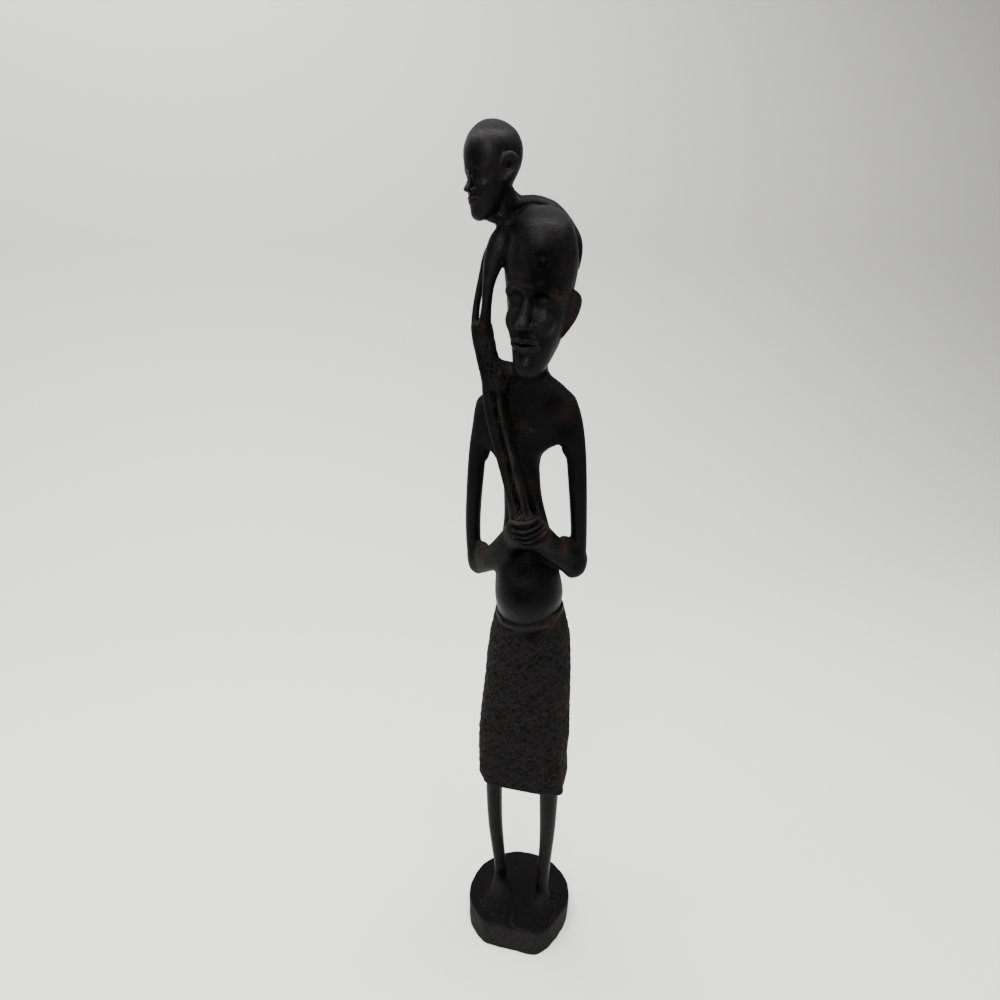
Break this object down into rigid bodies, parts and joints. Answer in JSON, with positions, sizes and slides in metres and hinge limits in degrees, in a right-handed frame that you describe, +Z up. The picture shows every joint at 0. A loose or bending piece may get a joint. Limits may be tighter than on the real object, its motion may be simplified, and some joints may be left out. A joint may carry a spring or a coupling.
{
  "type": "african maternity figure",
  "caption": "Slender dark wood carving of a standing mother with a child climbing her side, on its own low round base.",
  "frame": {"origin": "middle of the base's flat underside, on the surface the figure stands on", "axes": "+Z up through the figure, -Y the way the mother's body faces, +X towards her left hand"},
  "size_m": [0.0508, 0.048, 0.3545],
  "materials": {
    "blackwood": "hand-rubbed satin over chisel-cut cloth"
  },
  "bodies": {
    "root": {"maternity_figure": "blackwood"}
  },
  "joints": []
}
